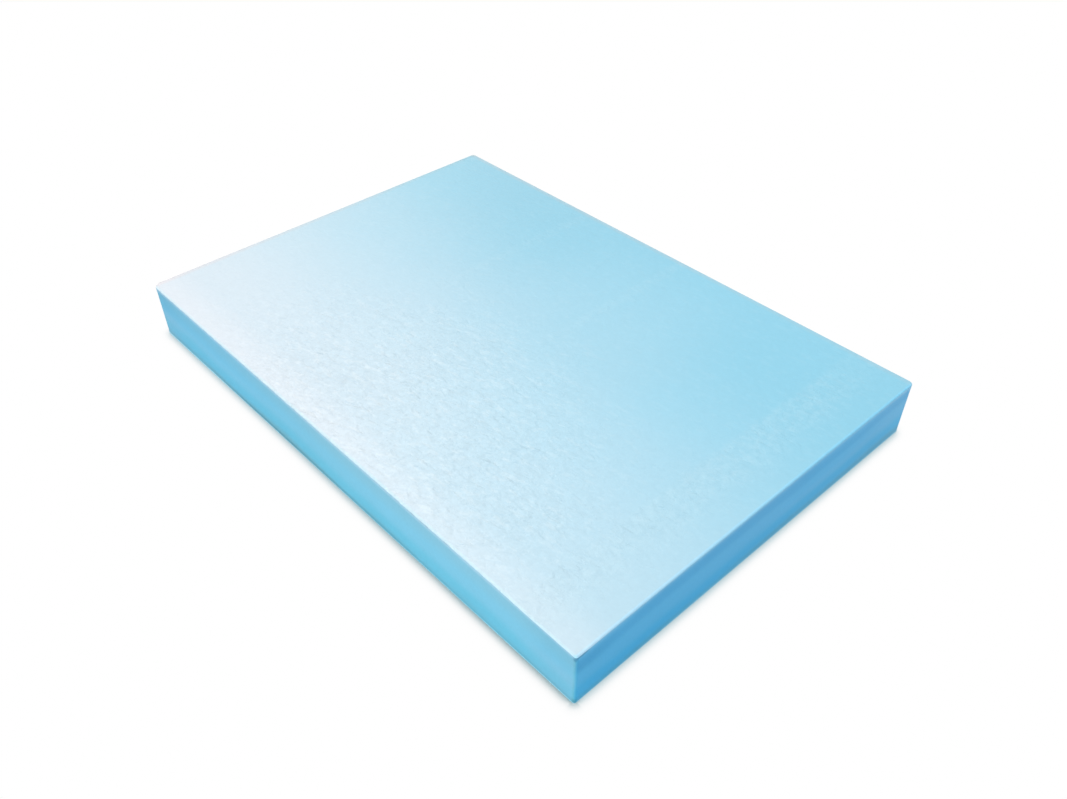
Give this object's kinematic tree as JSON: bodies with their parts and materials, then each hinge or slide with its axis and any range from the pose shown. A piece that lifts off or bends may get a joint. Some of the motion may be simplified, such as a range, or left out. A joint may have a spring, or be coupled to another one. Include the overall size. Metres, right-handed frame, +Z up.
{
  "type": "foam block",
  "caption": "Flat rectangular block of rigid blue foam board with two smooth skinned faces, cut sides and softly rounded corners.",
  "frame": {"origin": "middle of the underside, on the surface that the block lies on", "axes": "+X along the length, +Y along the width, +Z up through the thickness to the top skin"},
  "size_m": [0.3, 0.21, 0.028],
  "materials": {
    "blue_foam": "pale blue extruded foam, satin pearly skin on the broad faces and matte cut sides"
  },
  "bodies": {
    "root": {"foam_block": "blue_foam"}
  },
  "joints": []
}
